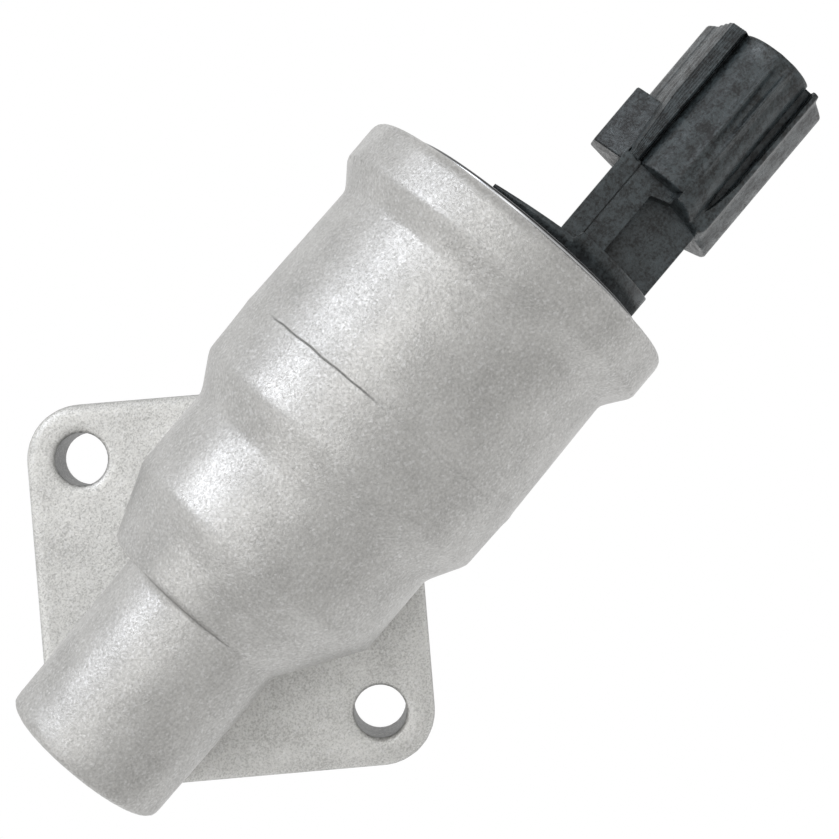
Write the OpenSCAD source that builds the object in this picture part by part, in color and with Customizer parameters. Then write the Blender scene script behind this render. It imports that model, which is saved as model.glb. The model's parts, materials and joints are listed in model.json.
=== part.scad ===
// Idle air control valve: a die-cast body on a two-bolt flange, with a solenoid valve inside.
// The origin is the centre of the mounting face, midway between the bolts, with +Z off the face.
// +X runs along the valve axis towards the connector.

/* [Mounting flange] */
// How far the flange reaches past the centre of each bolt hole
flange_land = 7.03; // [6:0.01:8]
// Thickness of the flange
flange_t = 10; // [7:0.5:12]
// Radius of the flange corners
flange_corner_r = 7; // [5:0.5:9]
// Chamfer along the upper edge of the flange
flange_chamfer = 0.6; // [0.3:0.1:1]
// How far the rounded corner below the nose is cut back
flange_trim = 1; // [0.5:0.1:2]
// Distance between the centres of the two bolt holes
bolt_spacing = 50; // [48:0.5:52]
// Diameter of each bolt hole
bolt_hole_d = 6.8; // [6:0.1:8]

/* [Casting outside] */
// Height of the valve axis above the mounting face
axis_h = 25; // [24:0.5:30]
// Where the nose meets the shoulder, measured from the bolt line
step_x = -2.9; // [-3.6:0.1:-2.3]
// Radius of the nose where it meets the shoulder
nose_r = 11.2; // [10.8:0.1:12]
// Length of the nose
nose_len = 22.9; // [22:0.1:25]
// How much the nose tapers in radius, for draft
nose_draft = 0.3; // [0.1:0.1:0.5]
// Rounding of the nose's end
nose_edge_r = 1; // [0.5:0.1:1.5]
// Height of the small step from the nose to the shoulder
shoulder_step = 0.4; // [0.2:0.1:1]
// How far the shoulder's small end lies off the valve axis, towards the first bolt
shoulder_shift = 1.5; // [1:0.1:1.8]
// Length of the tapered shoulder
shoulder_len = 9.2; // [8:0.1:11]
// Outer radius of the valve section
chamber_r = 17.6; // [17:0.1:18.5]
// Length of the valve section
chamber_len = 10.8; // [10:0.2:12]
// Length of the cone from the valve section to the barrel
front_cone_len = 4.5; // [3.5:0.1:5.5]
// Radius of the barrel at its parting line
barrel_r = 20.4; // [20.2:0.1:21.2]
// How much the barrel tapers in radius, either way from its parting line
barrel_draft = 0.35; // [0.1:0.05:0.5]
// Length of the barrel
barrel_len = 25.1; // [24:0.1:30]
// Distance of the parting line from the barrel's lower end
parting_from = 7.6; // [6:0.2:10]
// Radius of the bead that the parting line leaves
parting_bead_r = 0.25; // [0.15:0.05:0.4]
// Length of the cone from the barrel to the collar
rear_cone_len = 3.1; // [2:0.1:3.5]
// Wall of the collar around the end plate
rim_wall = 2.9; // [2.5:0.1:3.2]
// Length of the collar
collar_len = 5.8; // [5.5:0.1:8]
// Rounding of the collar's rim
collar_edge_r = 1.2; // [0.6:0.1:1.6]

/* [Casting inside] */
// Thickness of the wall that closes the nose
end_wall = 3.5; // [3:0.1:4]
// Wall of the nose around its chamber
nose_wall = 3; // [2.5:0.1:3.2]
// Wall of the valve section around its chamber
chamber_wall = 3.4; // [3:0.1:4]
// Wall of the barrel around the solenoid
barrel_wall = 2.8; // [2.4:0.1:3]
// How far the solenoid's bay starts behind the barrel's lower end
bay_back = 1.6; // [1:0.1:2.2]
// Wall between the nose chamber and the valve chamber
web_t = 3.5; // [3:0.1:4]
// How far that wall starts ahead of the step on the outside
web_lead = 0.4; // [0:0.1:0.8]
// Radius of the boss that carries the nose bush
boss_r = 5.2; // [4.9:0.1:5.6]
// Diameter of the port below the nose
inlet_d = 11; // [10:0.2:11.4]
// Diameter of the port below the valve section
outlet_d = 13; // [11:0.2:13.4]
// Metal left between the inlet port and the web
inlet_gap = 0.6; // [0.4:0.1:0.9]
// Metal left between the outlet port and the web
outlet_gap = 3.5; // [3.3:0.1:4]
// Wall of the towers around the two ports
tower_wall = 3; // [2.5:0.1:3.4]
// Section of the two rubber rings in the mounting face
ring_d = 1.8; // [1.5:0.1:2]
// Land between each port and its rubber ring
ring_land = 1; // [0.8:0.1:1.2]

/* [Valve] */
// Diameter of the valve shaft
shaft_d = 4; // [3.6:0.1:4.4]
// Travel of the valve from closed to open
valve_travel = 4; // [3:0.1:4]
// Radial clearance of the shaft in its two bushes
shaft_clearance = 0.03; // [0.02:0.01:0.06]
// Wall of the two shaft bushes
bush_wall = 1.2; // [1:0.1:1.3]
// Length of the nose bush
nose_bush_len = 8; // [7.5:0.1:9]
// Radius of the hole through the seat
seat_hole_r = 6; // [5.8:0.1:6.4]
// Outer radius of the seat ring
seat_r = 8.8; // [8.6:0.1:9.4]
// Height of the raised lip that seals
seat_lip = 0.3; // [0.2:0.05:0.5]
// Radius of the poppet
poppet_r = 7.8; // [7.4:0.1:8.2]
// Thickness of the poppet's brass disc
poppet_t = 1.8; // [1.4:0.1:2.2]
// Thickness of the rubber facing
facing_t = 1; // [0.8:0.1:1.3]
// Radius of the skirt that reaches into the seat
skirt_r = 5; // [4.8:0.1:5.2]
// Length of the skirt in front of the facing
skirt_len = 1.6; // [1.2:0.1:2]
// Length of the hub behind the disc
hub_len = 2.2; // [1.8:0.1:3]
// Thickness of the two retaining clips
clip_t = 0.6; // [0.5:0.1:0.8]
// Radius of the two retaining clips
clip_r = 3.4; // [3.2:0.1:3.6]

/* [Solenoid] */
// Thickness of the front pole plate
pole_t = 3; // [2.8:0.1:3.6]
// Length of the pole plate's hub in the valve chamber
pole_hub_len = 4; // [3:0.1:5]
// Radius of the pole plate's hub
pole_hub_r = 6; // [5.4:0.1:7]
// Section of the rubber ring around the pole plate
pole_ring_d = 1.6; // [1.4:0.1:1.8]
// Radius of the armature
armature_r = 5.4; // [5:0.1:5.6]
// Running clearance of the armature in its guide tube
armature_clearance = 0.04; // [0.03:0.01:0.08]
// Length of the armature
armature_len = 15.9; // [14:0.1:17]
// Depth of the spring's seat in the armature
spring_seat_depth = 4.5; // [3.5:0.1:6]
// Wall of the guide tube
tube_wall = 0.56; // [0.4:0.02:0.7]
// Thickness of the brass stop washer
stop_t = 0.2; // [0.1:0.05:0.4]
// Length of the core that stands inside the guide tube
core_nose_len = 3.8; // [3:0.1:5]
// Length of the coil former
former_len = 28.8; // [27.6:0.1:28.8]
// Thickness of the former's flanges
former_flange_t = 1.6; // [1.3:0.1:2]
// Wall of the former's tube
former_wall = 1; // [0.8:0.1:1.3]
// Gap between the former's flanges and the flux tube
former_gap = 0.4; // [0.3:0.1:0.8]
// How far the copper winding stays below the former's flanges
winding_margin = 1; // [0.6:0.1:1.6]
// Wall of the steel flux tube
yoke_wall = 1.5; // [1.2:0.05:1.6]
// Gap between the flux tube and the bay
yoke_gap = 0.1; // [0.05:0.05:0.2]
// Width of the ledge that the end plate rests on
plate_ledge = 1.9; // [1.7:0.1:2.2]
// Thickness of the end plate's edge, held below the rolled lip
plate_edge_t = 1.2; // [1:0.1:1.5]
// Width of the end plate's edge
plate_edge_w = 1.5; // [1.2:0.1:1.7]
// Thickness of the rolled lip
lip_t = 0.95; // [0.8:0.05:1.3]
// How far the end plate stands proud of the rim
plate_proud = 0.9; // [0.5:0.1:1.5]
// Fitting gap around the end plate
plate_gap = 0.1; // [0.05:0.05:0.2]
// Radius of the core's riveted end
rivet_r = 4; // [3.5:0.1:4.2]
// Depth of the return spring's pocket in the fixed core
spring_pocket = 7.8; // [6:0.1:9]

/* [Springs] */
// Wire of the return spring
return_wire_d = 0.5; // [0.4:0.05:0.6]
// Mean radius of the return spring
return_mean_r = 2.6; // [2.5:0.05:2.7]
// Turns of the return spring
return_turns = 9; // [7:1:10]
// Wire of the balance spring
balance_wire_d = 0.6; // [0.5:0.05:0.7]
// Mean radius of the balance spring
balance_mean_r = 4.2; // [4.1:0.05:4.4]
// Turns of the balance spring
balance_turns = 7; // [6:1:8]

/* [Connector] */
// How far the connector's centre lies to the side of the valve axis
plug_offset = 9.4; // [9:0.1:9.8]
// Radius of the round pad on the end plate
pad_r = 17.4; // [16.8:0.1:17.8]
// Thickness of the pad beside the neck
pad_t = 2.8; // [2.2:0.1:3.4]
// Thickness of the thin tip of the pad's gusset
pad_tip_t = 0.5; // [0.3:0.1:1]
// How far the gusset reaches past the valve axis
pad_reach = 6.3; // [5.5:0.1:7]
// Width of the neck
neck_w = 12.9; // [12:0.1:14]
// Width of the high half of the neck
neck_high_w = 5.5; // [5:0.1:6]
// Height of the neck's high half above the connector's centre
neck_high_h = 7.5; // [7:0.1:8]
// Plastic that covers the edges of the terminals in the neck's low half
blade_cover = 0.8; // [0.6:0.1:1.2]
// Length from the end plate to the connector's shell
neck_len = 12.4; // [11:0.1:14]
// Length of the shell
shell_len = 22; // [20:0.1:24]
// Width of the shell
shell_w = 17.3; // [16.8:0.1:18]
// How far the shell's top slopes forward at its rear end
shell_slope = 2.4; // [1.5:0.1:3]
// How much further forward the shell starts beside the neck's high half
shell_step = 1.9; // [1.4:0.1:2.2]
// Height of the shell's shoulders, above and below its centre
shoulder_h = 6.7; // [6.5:0.1:7.1]
// How far each sloping shoulder reaches in from the shell's side
shoulder_in = 1.8; // [1.6:0.1:2]
// Radius of the crown along the top and bottom of the shell
crown_r = 5.5; // [5.3:0.1:6]
// Height of the crown's centre above the shell's centre
crown_h = 4.1; // [3.8:0.1:4.3]
// Height of the rail beside the crown
rail_h = 7.7; // [7.4:0.1:8]
// Width of the rail beside the crown
rail_w = 2.1; // [1.8:0.1:2.3]
// Height of the ridge on the crown's other side
ridge_h = 6.9; // [6.7:0.1:7.3]
// Width of the ridge on the crown's other side
ridge_w = 1.2; // [1:0.1:1.5]
// Width of the deep groove between the crown and the ridge
side_groove_w = 1.5; // [1.2:0.1:1.7]
// Height of the deep groove's floor
side_groove_h = 6; // [5.9:0.1:6.3]
// Width of the socket
socket_w = 12.8; // [12:0.1:13.2]
// Height of the socket
socket_h = 10.4; // [10:0.1:10.8]
// Rounding of the socket's corners
socket_corner_r = 2.2; // [2:0.1:2.6]
// Wall between the socket and the neck
socket_floor_t = 2.6; // [2:0.1:3.5]
// Distance between the two terminals
terminal_pitch = 5; // [4.6:0.1:5.6]
// Thickness of each terminal
terminal_t = 0.8; // [0.6:0.1:1]
// Width of each terminal
terminal_w = 2.4; // [2:0.1:2.6]
// Length of each terminal inside the socket
terminal_reach = 11.6; // [9:0.1:13]

/* [Hidden] */
$fn = 64;

// Places along the valve axis, from the nose to the rim
nose_x = step_x - nose_len;
chamber_x = step_x + shoulder_len;
front_cone_x = chamber_x + chamber_len;
barrel_x = front_cone_x + front_cone_len;
parting_x = barrel_x + parting_from;
rear_cone_x = barrel_x + barrel_len;
collar_x = rear_cone_x + rear_cone_len;
rim_x = collar_x + collar_len;

// The square flange, standing on one of its corners
flange_reach = bolt_spacing / 2 + flange_land;
flange_side = (flange_reach + flange_corner_r * (sqrt(2) - 1)) * sqrt(2);

// Bores of the casting
nose_bore_r = nose_r - nose_wall;
chamber_bore_r = chamber_r - chamber_wall;
bay_r = barrel_r - barrel_wall;
plate_seat_r = bay_r + plate_ledge;
plate_r = plate_seat_r - plate_edge_w - plate_gap;
collar_r = plate_seat_r + rim_wall;
nose_floor_x = nose_x + end_wall;
web_x = step_x - web_lead;
web_end_x = web_x + web_t;
shoulder_r = nose_r + shoulder_step;
shoulder_bore_r = shoulder_r + (chamber_r - shoulder_r) * (web_end_x - step_x) / shoulder_len
    - chamber_wall;
bay_x = barrel_x - bay_back;
inlet_x = web_x - inlet_gap - inlet_d / 2;
outlet_x = web_end_x + outlet_gap + outlet_d / 2;

// Shaft and bushes
shaft_r = shaft_d / 2;
bush_r = shaft_r + bush_wall;
bush_bore_r = shaft_r + shaft_clearance;
bush_depth = 0.7;
nose_bush_x = nose_floor_x - bush_depth;
boss_x = nose_bush_x + nose_bush_len;
shaft_back = 1;

// Seat and poppet, closed
seat_face_x = web_end_x + 0.1;
seal_gap = 0.04;
facing_x = seat_face_x + seal_gap;
skirt_x = facing_x - skirt_len;
disc_x = facing_x + facing_t;
hub_end_x = disc_x + poppet_t + hub_len;
hub_r = shaft_r + 1.6;
clip_groove_r = shaft_r - 0.3;

// Solenoid
pole_r = bay_r - 0.1;
pole_end_x = bay_x + pole_t;
tube_r = armature_r + armature_clearance + tube_wall;
tube_seat = 2;
tube_x = pole_end_x - tube_seat;
rear_bush_x = bay_x - pole_hub_len;
armature_x = tube_x + 1;
armature_end_x = armature_x + armature_len;
spring_floor_x = armature_end_x - spring_seat_depth;
stop_x = armature_end_x + valve_travel + 0.1;
core_x = stop_x + stop_t;
tube_end_x = core_x + core_nose_len;
spring_bore_r = return_mean_r + return_wire_d / 2 + 0.35;
spring_top_x = core_x + spring_pocket;
plate_face_x = rim_x + plate_proud;
plate_in_x = rim_x - lip_t - plate_edge_t - 0.05;
plate_lip_r = plate_r + plate_gap * 2;
former_x = pole_end_x;
former_end_x = former_x + former_len;
former_bore_r = tube_r + 0.1;
former_tube_r = former_bore_r + former_wall;
yoke_r = bay_r - yoke_gap;
former_r = yoke_r - yoke_wall - former_gap;
winding_r = former_r - winding_margin;
coil_ring_d = plate_in_x - former_end_x;
coil_ring_r = former_r - 0.7;

// Connector, whose tongue passes through a window in the end plate
plug_y = -plug_offset;
window_gap = 0.1;
blade_y = plug_offset + terminal_t / 2;
blade_z = terminal_pitch / 2 + terminal_w / 2;
tongue_side = 3.1;
tongue_top = 1.7;
// The tongue's walls around the blades fill the room inside the coil's rubber ring, and grow with it
tongue_room = coil_ring_r - coil_ring_d / 2 - window_gap;
fill_a = pow(tongue_side, 2) + pow(tongue_top, 2);
fill_b = blade_y * tongue_side + blade_z * tongue_top;
fill_c = pow(blade_y, 2) + pow(blade_z, 2) - pow(tongue_room, 2);
tongue_fill = (sqrt(pow(fill_b, 2) - fill_a * fill_c) - fill_b) / fill_a;
tongue_out_y = -blade_y - tongue_side * tongue_fill;
tongue_in_y = -tube_r - 0.5;
tongue_h = 2 * (blade_z + tongue_top * tongue_fill);
neck_left_y = plug_y + neck_w / 2;
neck_right_y = plug_y - neck_w / 2;
neck_step_y = neck_left_y - neck_high_w;
neck_low_h = blade_z + blade_cover;
foot_w = 2.6;
shell_x = plate_face_x + neck_len;
socket_x = shell_x + socket_floor_t;
terminal_x = former_end_x - former_flange_t * 0.6;
terminal_len = socket_x + terminal_reach - terminal_x;

// Places what is drawn around the upright axis onto the valve axis, starting at x
module along_axis(x = 0) {
    translate([x, 0, axis_h]) rotate([90, 0, 90]) children();
}

// A washer or a tube around the valve axis
module ring_on_axis(x, length, outer_r, inner_r) {
    along_axis(x) difference() {
        cylinder(h = length, r = outer_r);
        translate([0, 0, -1]) cylinder(h = length + 2, r = inner_r);
    }
}

// A round rubber ring with section diameter d
module rubber_ring(mean_r, d) {
    rotate_extrude() translate([mean_r, 0]) circle(d = d, $fn = 32);
}

// The flange's side profile, with a chamfer along both upper edges
module flange_section() {
    half = flange_side / 2;
    side_h = flange_t - flange_chamfer;
    polygon([[-half, 0], [half, 0], [half, side_h], [half - flange_chamfer, flange_t],
        [flange_chamfer - half, flange_t], [-half, side_h]]);
}

// The square flange, with one corner below the nose
module flange_plate() {
    corner = flange_side / 2 - flange_corner_r;
    side_h = flange_t - flange_chamfer;
    rotate([0, 0, 45]) {
        for (x = [-corner, corner], y = [-corner, corner]) translate([x, y, 0]) {
            cylinder(h = side_h, r = flange_corner_r);
            translate([0, 0, side_h])
                cylinder(h = flange_chamfer, r1 = flange_corner_r, r2 = flange_corner_r - flange_chamfer);
        }
        for (turn = [0, 90]) rotate([90, 0, turn])
            linear_extrude(2 * corner, center = true) flange_section();
    }
}

// The flange with its nose corner cut back to a blunter curve
module trimmed_flange() {
    blunt_r = flange_reach + 3;
    intersection() {
        flange_plate();
        translate([3 + flange_trim, 0, -1]) cylinder(h = flange_t + 2, r = blunt_r);
    }
}

// Outline of the turned part of the casting: radius across, axis position up
module outer_profile() {
    nose_end_r = nose_r - nose_draft;
    polygon([
        [0, nose_x],
        [nose_end_r - nose_edge_r, nose_x],
        [nose_end_r, nose_x + nose_edge_r],
        [nose_r, step_x],
        [nose_r + shoulder_step, step_x],
        [chamber_r, chamber_x],
        [chamber_r, front_cone_x],
        [barrel_r - barrel_draft * 0.6, barrel_x],
        [barrel_r, parting_x],
        [barrel_r - barrel_draft, rear_cone_x],
        [collar_r, collar_x],
        [collar_r, rim_x - collar_edge_r],
        [collar_r - collar_edge_r, rim_x],
        [0, rim_x]
    ]);
    translate([nose_end_r - nose_edge_r, nose_x + nose_edge_r]) circle(r = nose_edge_r);
    translate([collar_r - collar_edge_r, rim_x - collar_edge_r]) circle(r = collar_edge_r);
    translate([barrel_r - parting_bead_r * 0.3, parting_x]) circle(r = parting_bead_r, $fn = 24);
}

// Outline of the casting's stepped bore, bored out from the rim
module bore_profile() {
    polygon([
        [0, nose_bush_x],
        [bush_r, nose_bush_x],
        [bush_r, boss_x],
        [boss_r, boss_x],
        [boss_r, nose_floor_x],
        [nose_bore_r, nose_floor_x],
        [nose_bore_r, web_x],
        [seat_r, web_x],
        [seat_r, web_end_x],
        [shoulder_bore_r, web_end_x],
        [chamber_bore_r, chamber_x],
        [chamber_bore_r, bay_x],
        [bay_r, bay_x],
        [bay_r, plate_in_x],
        [plate_seat_r, plate_in_x],
        [plate_seat_r, rim_x - lip_t],
        [plate_lip_r, rim_x - lip_t],
        [plate_lip_r, rim_x + 1],
        [0, rim_x + 1]
    ]);
}

// The tower that joins the nose to the flange around the inlet port
module inlet_tower() {
    r = inlet_d / 2 + tower_wall;
    linear_extrude(axis_h) {
        translate([inlet_x, 0]) circle(r = r);
        translate([inlet_x, -r]) square([web_end_x - inlet_x, 2 * r]);
    }
}

// The shoulder's fuller side: a cone with a rounded small end, off the valve axis towards the first bolt
module shoulder_bulge() {
    small_r = nose_r + shoulder_shift + 0.4;
    big_r = chamber_r - shoulder_shift;
    edge_r = 1.2;
    translate([0, shoulder_shift, 0]) along_axis() rotate_extrude($fn = 96) {
        polygon([
            [0, step_x],
            [small_r - edge_r, step_x],
            [small_r, step_x + edge_r],
            [big_r, chamber_x],
            [0, chamber_x]
        ]);
        translate([small_r - edge_r, step_x + edge_r]) circle(r = edge_r);
    }
}

// The tower below the valve section and the shoulder
module outlet_tower() {
    linear_extrude(axis_h - 3) polygon([
        [step_x + 0.3, nose_r],
        [step_x + 0.3, -nose_r],
        [chamber_x, 1 - chamber_r],
        [front_cone_x, 1 - chamber_r],
        [front_cone_x, chamber_r - 0.1],
        [chamber_x, chamber_r - 0.1],
        [step_x + 2, nose_r + shoulder_shift + 1.4],
        [step_x + 0.8, nose_r + shoulder_shift]
    ]);
}

// A port through the mounting face, deep enough to open into a chamber of radius bore_r
module port(x, d, bore_r) {
    wall_z = axis_h - sqrt(pow(bore_r, 2) - pow(d / 2, 2));
    translate([x, 0, -1]) cylinder(h = wall_z + 2, d = d);
}

// The groove for a rubber ring around a port
module ring_groove(x, d) {
    inner_r = d / 2 + ring_land;
    translate([x, 0, -1]) difference() {
        cylinder(h = ring_d + 1, r = inner_r + ring_d);
        translate([0, 0, -1]) cylinder(h = ring_d + 3, r = inner_r);
    }
}

// The die-cast body with its flange, ports and stepped bore
module valve_body() {
    color("silver") difference() {
        union() {
            trimmed_flange();
            along_axis() rotate_extrude($fn = 96) outer_profile();
            shoulder_bulge();
            inlet_tower();
            outlet_tower();
        }
        along_axis() rotate_extrude($fn = 96) bore_profile();
        port(inlet_x, inlet_d, nose_bore_r);
        port(outlet_x, outlet_d, chamber_bore_r);
        ring_groove(inlet_x, inlet_d);
        ring_groove(outlet_x, outlet_d);
        for (side = [-1, 1]) translate([0, side * bolt_spacing / 2, -1])
            cylinder(h = flange_t + 2, d = bolt_hole_d);
    }
}

// The rubber ring around a port, flush with the mounting face
module port_seal(x, d) {
    color("dimgray") translate([x, 0, ring_d / 2])
        rubber_ring(d / 2 + ring_land + ring_d / 2, ring_d);
}

module inlet_seal() {
    port_seal(inlet_x, inlet_d);
}

module outlet_seal() {
    port_seal(outlet_x, outlet_d);
}

// The pressed-in brass seat with its raised sealing lip
module seat_ring() {
    lip_w = 0.9;
    color("goldenrod") along_axis() rotate_extrude() polygon([
        [seat_hole_r, web_x],
        [seat_r, web_x],
        [seat_r, seat_face_x - seat_lip],
        [seat_hole_r + lip_w, seat_face_x - seat_lip],
        [seat_hole_r + lip_w * 0.7, seat_face_x],
        [seat_hole_r + lip_w * 0.2, seat_face_x],
        [seat_hole_r, seat_face_x - seat_lip]
    ]);
}

module nose_bush() {
    color("peru") ring_on_axis(nose_bush_x, nose_bush_len, bush_r, bush_bore_r);
}

module rear_bush() {
    color("peru") ring_on_axis(rear_bush_x, tube_x - rear_bush_x, bush_r, bush_bore_r);
}

// Centre line of a spring with flat end turns, as a point for each part of a turn
function spring_point(turn, turns, length, wire, mean_r) =
    let (
        closed = min(turn, 1) + max(turn - (turns - 1), 0),
        open = max(min(turn, turns - 1) - 1, 0),
        closed_pitch = wire * 1.04,
        open_pitch = (length - wire - 2 * closed_pitch) / (turns - 2),
        z = wire / 2 + closed * closed_pitch + open * open_pitch
    )
    [mean_r * cos(360 * turn), mean_r * sin(360 * turn), z];

// A coil spring standing on the ground plane, swept as a tube with square facing rings
module coil_spring(turns, length, wire, mean_r) {
    steps = 16;
    sides = 8;
    count = turns * steps;
    points = [for (i = [0:count], k = [0:sides - 1])
        let (
            p = spring_point(i / steps, turns, length, wire, mean_r),
            a = 360 * i / steps,
            across = mean_r + wire / 2 * cos(360 * k / sides)
        )
        [across * cos(a), across * sin(a), p[2] + wire / 2 * sin(360 * k / sides)]];
    walls = [for (i = [0:count - 1], k = [0:sides - 1])
        [i * sides + k, i * sides + (k + 1) % sides, (i + 1) * sides + (k + 1) % sides, (i + 1) * sides + k]];
    start = [for (k = [sides - 1:-1:0]) k];
    finish = [for (k = [0:sides - 1]) count * sides + k];
    polyhedron(points, concat([start], walls, [finish]));
}

module balance_spring() {
    color("slategray") along_axis(boss_x)
        coil_spring(balance_turns, skirt_x - boss_x, balance_wire_d, balance_mean_r);
}

module return_spring() {
    color("slategray") along_axis(spring_floor_x)
        coil_spring(return_turns, spring_top_x - spring_floor_x, return_wire_d, return_mean_r);
}

// The shaft, with a groove for each clip and both ends chamfered
module valve_shaft() {
    tip = 0.3;
    front_x = nose_bush_x + shaft_back;
    color("lightsteelblue") along_axis() rotate_extrude() polygon([
        [0, front_x],
        [shaft_r - tip, front_x],
        [shaft_r, front_x + tip],
        [shaft_r, skirt_x - clip_t],
        [clip_groove_r, skirt_x - clip_t],
        [clip_groove_r, skirt_x],
        [shaft_r, skirt_x],
        [shaft_r, hub_end_x],
        [clip_groove_r, hub_end_x],
        [clip_groove_r, hub_end_x + clip_t],
        [shaft_r, hub_end_x + clip_t],
        [shaft_r, spring_floor_x],
        [0, spring_floor_x]
    ]);
}

// The brass poppet: a skirt that meters the air, a disc and a hub
module poppet() {
    color("darkgoldenrod") along_axis() rotate_extrude() polygon([
        [shaft_r, skirt_x],
        [skirt_r - 0.4, skirt_x],
        [skirt_r, skirt_x + 0.4],
        [skirt_r, disc_x],
        [poppet_r, disc_x],
        [poppet_r, disc_x + poppet_t],
        [hub_r, disc_x + poppet_t],
        [hub_r, hub_end_x],
        [shaft_r, hub_end_x]
    ]);
}

module poppet_facing() {
    color("black") ring_on_axis(facing_x, facing_t, poppet_r, skirt_r);
}

// One open retaining clip, in its groove in the shaft
module retaining_clip(x) {
    mouth = clip_groove_r * 1.5;
    along_axis(x) linear_extrude(clip_t) difference() {
        circle(r = clip_r);
        circle(r = clip_groove_r);
        translate([-mouth / 2, 0]) square([mouth, clip_r + 1]);
    }
}

module poppet_clips() {
    color("gray") {
        retaining_clip(skirt_x - clip_t);
        retaining_clip(hub_end_x);
    }
}

// The steel plate that closes the valve chamber and carries the rear bush and the guide tube
module front_pole_plate() {
    groove_w = pole_ring_d + 0.2;
    groove_x = bay_x + (pole_t - groove_w) / 2;
    groove_r = bay_r - pole_ring_d;
    color("lightslategray") along_axis() rotate_extrude() polygon([
        [bush_r, rear_bush_x],
        [pole_hub_r - 0.5, rear_bush_x],
        [pole_hub_r, rear_bush_x + 0.5],
        [pole_hub_r, bay_x],
        [pole_r, bay_x],
        [pole_r, groove_x],
        [groove_r, groove_x],
        [groove_r, groove_x + groove_w],
        [pole_r, groove_x + groove_w],
        [pole_r, pole_end_x],
        [tube_r, pole_end_x],
        [tube_r, tube_x],
        [bush_r, tube_x]
    ]);
}

module pole_plate_seal() {
    color("dimgray") along_axis(bay_x + pole_t / 2)
        rubber_ring(bay_r - pole_ring_d / 2, pole_ring_d);
}

// The armature, with the spring's seat in its end and two grooves that let air past
module armature() {
    groove_w = 1.6;
    groove_t = 1;
    color("lightsteelblue") difference() {
        along_axis(armature_x) cylinder(h = armature_len, r = armature_r);
        along_axis(armature_x - 1) cylinder(h = armature_len + 2, r = shaft_r);
        along_axis(spring_floor_x) cylinder(h = spring_seat_depth + 1, r = spring_bore_r);
        for (side = [-1, 1]) translate([armature_x - 1, -groove_w / 2, axis_h + side * armature_r - groove_t])
            cube([armature_len + 2, groove_w, groove_t * 2]);
    }
}

module guide_tube() {
    color("gold") ring_on_axis(tube_x, tube_end_x - tube_x, tube_r, tube_r - tube_wall);
}

module stop_washer() {
    color("gold") ring_on_axis(stop_x, stop_t, armature_r, spring_bore_r + 0.1);
}

// The fixed core: a nose in the guide tube, a body in the former and an end riveted into the plate
module fixed_core() {
    color("lightslategray") along_axis() rotate_extrude() polygon([
        [spring_bore_r, core_x],
        [armature_r, core_x],
        [armature_r, tube_end_x],
        [tube_r, tube_end_x],
        [tube_r, plate_in_x],
        [rivet_r, plate_in_x],
        [rivet_r, plate_face_x],
        [0, plate_face_x],
        [0, spring_top_x],
        [spring_bore_r, spring_top_x]
    ]);
}

// The moulded coil former, with a slot in its rear flange for each terminal
module coil_former() {
    color("ivory") difference() {
        along_axis() rotate_extrude() polygon([
            [former_bore_r, former_x],
            [former_r, former_x],
            [former_r, former_x + former_flange_t],
            [former_tube_r, former_x + former_flange_t],
            [former_tube_r, former_end_x - former_flange_t],
            [former_r, former_end_x - former_flange_t],
            [former_r, former_end_x],
            [former_bore_r, former_end_x]
        ]);
        for (side = [-1, 1]) terminal_blade(side, 0.02);
    }
}

module coil_winding() {
    color("chocolate")
        ring_on_axis(former_x + former_flange_t, former_len - 2 * former_flange_t,
            winding_r, former_tube_r);
}

module flux_tube() {
    color("lightslategray") ring_on_axis(pole_end_x, plate_in_x - pole_end_x, yoke_r, yoke_r - yoke_wall);
}

module coil_seal() {
    color("dimgray") along_axis(former_end_x + coil_ring_d / 2) rubber_ring(coil_ring_r, coil_ring_d);
}

// A block along the valve axis that is centred on the window in the end plate
module window_block(x, length, gap) {
    translate([x, tongue_out_y - gap, axis_h - tongue_h / 2 - gap])
        cube([length, tongue_in_y - tongue_out_y + 2 * gap, tongue_h + 2 * gap]);
}

// The steel end plate, whose thin edge is held below the rolled lip of the collar
module end_plate() {
    edge_x = plate_in_x + plate_edge_t;
    bevel = 0.3;
    color("gainsboro") difference() {
        along_axis() rotate_extrude($fn = 96) polygon([
            [rivet_r, plate_in_x],
            [plate_r + plate_edge_w, plate_in_x],
            [plate_r + plate_edge_w, edge_x],
            [plate_r, edge_x],
            [plate_r, plate_face_x - bevel],
            [plate_r - bevel, plate_face_x],
            [rivet_r, plate_face_x]
        ]);
        window_block(plate_in_x - 1, plate_face_x - plate_in_x + 2, window_gap);
    }
}

// A rectangle with rounded corners, centred
module rounded_rect(w, h, r) {
    square([w - 2 * r, h], center = true);
    square([w, h - 2 * r], center = true);
    for (x = [-1, 1], y = [-1, 1]) translate([x * (w / 2 - r), y * (h / 2 - r)]) circle(r = r);
}

// Moves what is drawn around the connector's centre line to its place, starting at x
module along_plug(x) {
    translate([x, plug_y, axis_h]) rotate([90, 0, 90]) children();
}

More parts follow.
